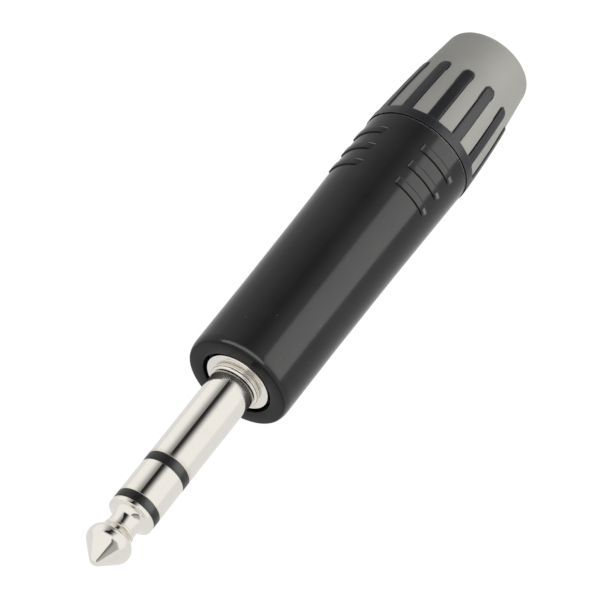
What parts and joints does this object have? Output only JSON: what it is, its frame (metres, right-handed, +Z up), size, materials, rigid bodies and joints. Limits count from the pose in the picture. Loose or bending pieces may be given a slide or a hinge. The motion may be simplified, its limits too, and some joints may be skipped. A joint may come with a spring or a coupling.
{
  "type": "stereo jack plug",
  "caption": "Straight three-pole jack plug with a plated finger, a black ribbed housing and a grey strain relief nut with black prongs.",
  "frame": {"origin": "on the plug's axis at the shoulder, where the barrel of the finger meets the housing", "axes": "+X along the axis and out of the tip, +Z up as the plug lies on its side"},
  "size_m": [0.0971, 0.016, 0.016],
  "materials": {
    "nickel": "bright nickel plate",
    "ring_plastic": "smooth black plastic",
    "carrier_plastic": "moulded black plastic",
    "terminal_metal": "tinned brass",
    "washer_board": "brown laminated board",
    "shell_black": "satin black coating on cast metal",
    "liner_plastic": "thin pale plastic sleeve",
    "chuck_plastic": "pale engineering plastic",
    "bushing_plastic": "fine grained black plastic",
    "boot_rubber": "grey soft plastic"
  },
  "bodies": {
    "plug": {"tip_contact": "nickel", "tip_insulator": "ring_plastic", "ring_contact": "nickel", "ring_insulator": "ring_plastic", "sleeve_contact": "nickel", "front_collar": "nickel", "carrier": "carrier_plastic", "sleeve_terminal": "terminal_metal", "ring_washer": "washer_board", "ring_terminal": "terminal_metal", "tip_washer": "washer_board", "tip_terminal": "terminal_metal", "shell": "shell_black", "liner": "liner_plastic"},
    "chuck": {"chuck": "chuck_plastic"},
    "bushing": {"bushing": "bushing_plastic", "boot": "boot_rubber"}
  },
  "joints": [
    {"name": "chuck_slide", "type": "slide", "parent": "plug", "child": "chuck", "axis": [-1, 0, 0], "range_m": [0, 0.0063]},
    {"name": "bushing_turn", "type": "hinge", "parent": "chuck", "child": "bushing", "pos_m": [-0.05, 0, 0], "axis": [-1, 0, 0], "range_deg": [0, 1800]}
  ],
  "couplings": [
    {"joint": "chuck_slide", "follows": "bushing_turn", "m_per_rad": 0.00019894}
  ]
}
